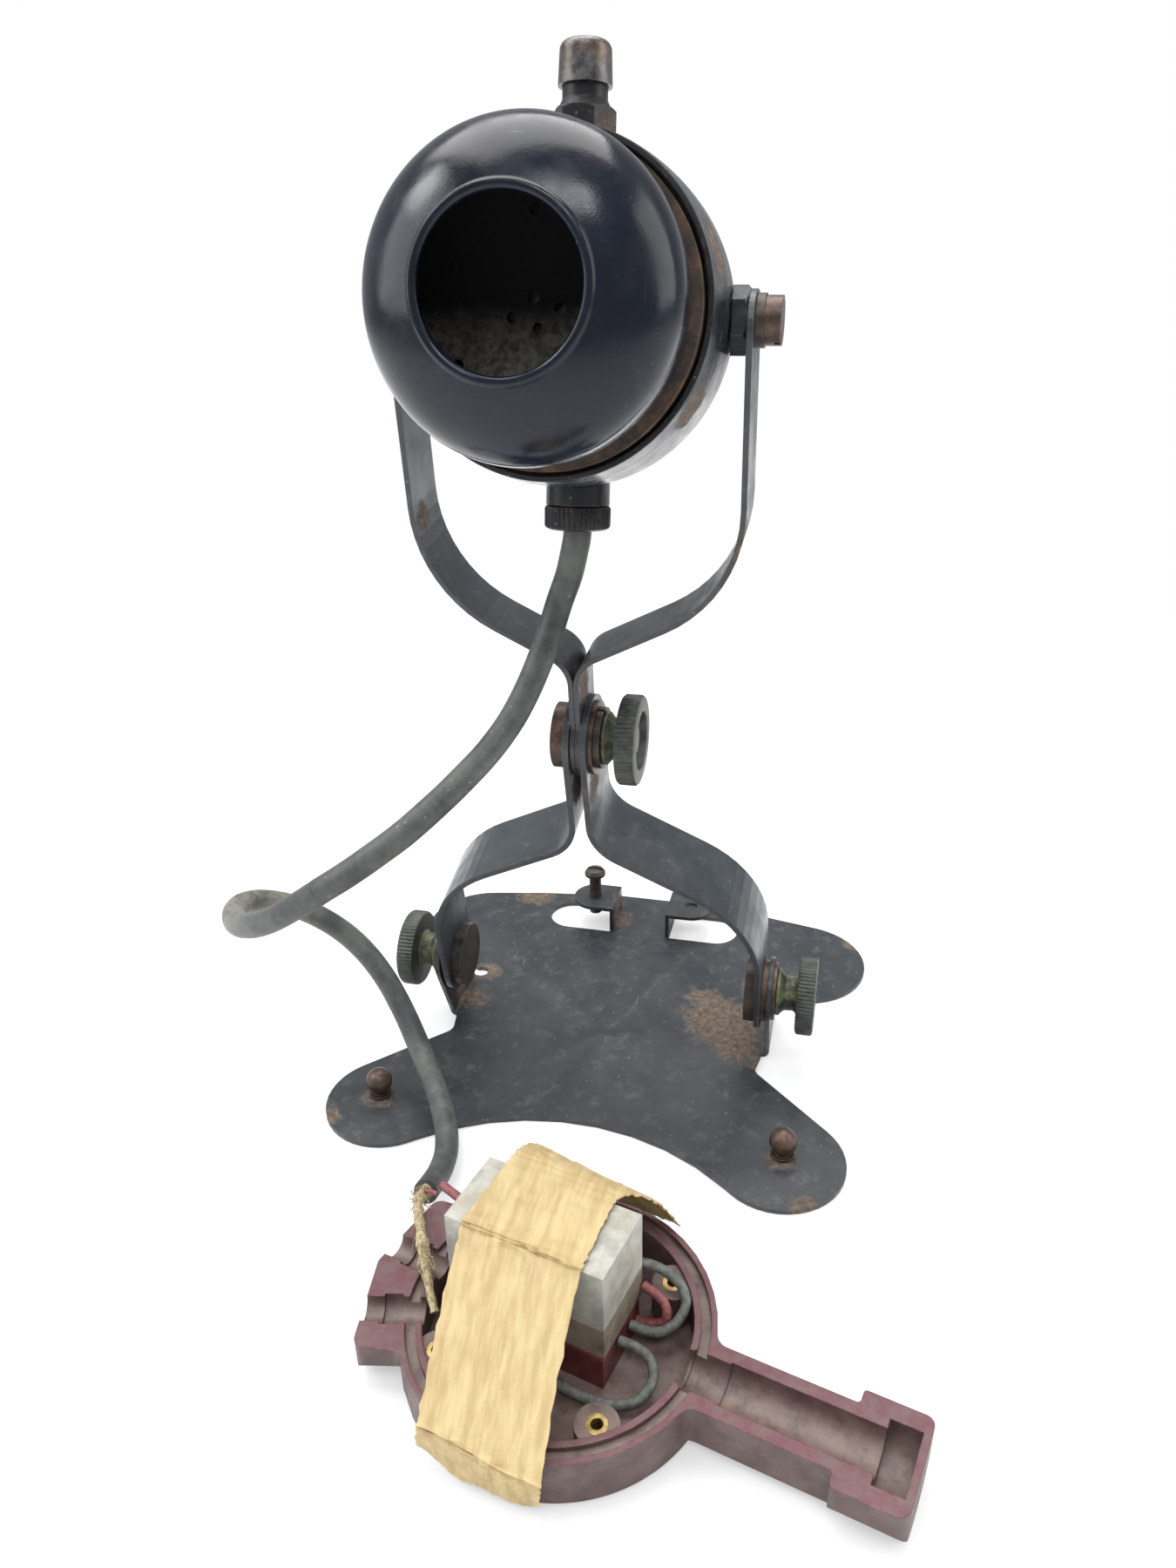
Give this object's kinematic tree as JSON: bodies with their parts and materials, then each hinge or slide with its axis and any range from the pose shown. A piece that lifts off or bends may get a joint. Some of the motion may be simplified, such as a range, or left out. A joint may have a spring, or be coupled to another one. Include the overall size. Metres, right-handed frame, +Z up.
{
  "type": "breast microphone on a folding strap stand",
  "caption": "Ball-shaped carbon transmitter with a round mouth and push button, tilting in a folding strap stand on a pressed plate, its lead run to an open case half.",
  "frame": {"origin": "on the table, under the middle of the stand's hinge line, in the plane the breast plate rests on", "axes": "+X along the hinge line towards the side of the middle clamp's nut, +Y to the back, away from the mouth, +Z up"},
  "size_m": [0.1811, 0.2181, 0.2503],
  "materials": {
    "black_enamel": "worn gloss black enamel on pressed steel, blue sheen",
    "strap_enamel": "satin black enamel, rubbed brown at the edges, rust spots",
    "blackened_steel": "blackened steel, brown with age",
    "copper_brown": "browned copper and brass washers",
    "rusty_steel": "rusted bare edge",
    "bright_brass": "aged brass",
    "spring_steel": "spring steel",
    "fibre_face": "grey-brown dusty capsule face",
    "carbon": "pressed carbon",
    "brown_moulding": "brown moulded insulator",
    "case_moulding": "dark maroon moulding, worn satin",
    "cradle_red": "dark red block",
    "can_metal": "dull grey can",
    "paper_roll": "waxed paper roll",
    "masking_tape": "crinkled tan masking tape",
    "rubber": "matt black-green rubber, dusty",
    "red_insulation": "faded red insulation",
    "grey_insulation": "faded grey-green insulation",
    "frayed_braid": "frayed yellow-beige braid"
  },
  "bodies": {
    "base": {"breast_plate": "strap_enamel", "strap_studs": "blackened_steel", "tab_screw": "blackened_steel", "hinge_bolt_left": "blackened_steel", "hinge_bolt_right": "blackened_steel", "hinge_washers": "copper_brown", "case_half": "case_moulding", "case_inserts": "bright_brass", "can_base": "can_metal", "can_lid": "can_metal", "condenser_roll": "paper_roll", "cradle": "cradle_red", "tape_band": "masking_tape", "red_wire": "red_insulation", "green_wire": "grey_insulation", "grey_wire": "grey_insulation", "line_wire": "red_insulation", "braided_core": "frayed_braid", "lead_lower": "rubber"},
    "lower_fork": {"lower_arm_left": "strap_enamel", "lower_arm_right": "strap_enamel"},
    "upper_fork": {"upper_arm_left": "strap_enamel", "upper_arm_right": "strap_enamel", "clamp_bolt": "copper_brown", "clamp_washer": "copper_brown", "clamp_spring_washer": "blackened_steel", "lead_middle": "rubber"},
    "head": {"rear_shell": "black_enamel", "seam_ring": "rusty_steel", "front_hood": "black_enamel", "capsule_case": "bright_brass", "capsule_face": "fibre_face", "diaphragm": "can_metal", "carbon_chamber": "carbon", "terminal_block": "brown_moulding", "terminal_screws": "bright_brass", "capsule_spring": "spring_steel", "pivot_boss_left": "blackened_steel", "pivot_boss_right": "blackened_steel", "pivot_screws": "copper_brown", "pivot_washers": "blackened_steel", "button_bush": "black_enamel", "switch_block": "brown_moulding", "switch_blades": "bright_brass", "button_spring": "spring_steel", "cable_gland": "black_enamel", "gland_nut": "black_enamel", "inner_wires": "red_insulation", "lead_upper": "rubber"},
    "button": {"top_button": "copper_brown"},
    "left_nut": {"thumb_nut_left": "blackened_steel"},
    "right_nut": {"thumb_nut_right": "blackened_steel"},
    "middle_nut": {"thumb_nut_middle": "blackened_steel"}
  },
  "joints": [
    {"name": "lower_hinge", "type": "hinge", "parent": "base", "child": "lower_fork", "pos_m": [0, 0.001, 0.023], "axis": [1, 0, 0], "range_deg": [-60, 20], "deforming": ["lead_lower"]},
    {"name": "middle_hinge", "type": "hinge", "parent": "lower_fork", "child": "upper_fork", "pos_m": [0, -0.01812, 0.10582], "axis": [1, 0, 0], "range_deg": [-50, 60], "deforming": ["lead_middle"]},
    {"name": "head_tilt", "type": "hinge", "parent": "upper_fork", "child": "head", "pos_m": [0.0017, -0.02712, 0.201], "axis": [1, 0, 0], "range_deg": [-40, 40], "deforming": ["lead_upper"]},
    {"name": "button_press", "type": "slide", "parent": "head", "child": "button", "axis": [0, -0.1719, -0.9851], "range_m": [0, 0.002], "stiffness_N_per_m": 700, "springref_m": -0.001, "deforming": ["button_spring"]},
    {"name": "left_nut_turn", "type": "hinge", "parent": "base", "child": "left_nut", "pos_m": [-0.055, 0.001, 0.023], "axis": [1, 0, 0], "continuous": true},
    {"name": "right_nut_turn", "type": "hinge", "parent": "base", "child": "right_nut", "pos_m": [0.055, 0.001, 0.023], "axis": [1, 0, 0], "continuous": true},
    {"name": "middle_nut_turn", "type": "hinge", "parent": "upper_fork", "child": "middle_nut", "pos_m": [0.011, -0.01812, 0.10582], "axis": [1, 0, 0], "continuous": true}
  ]
}
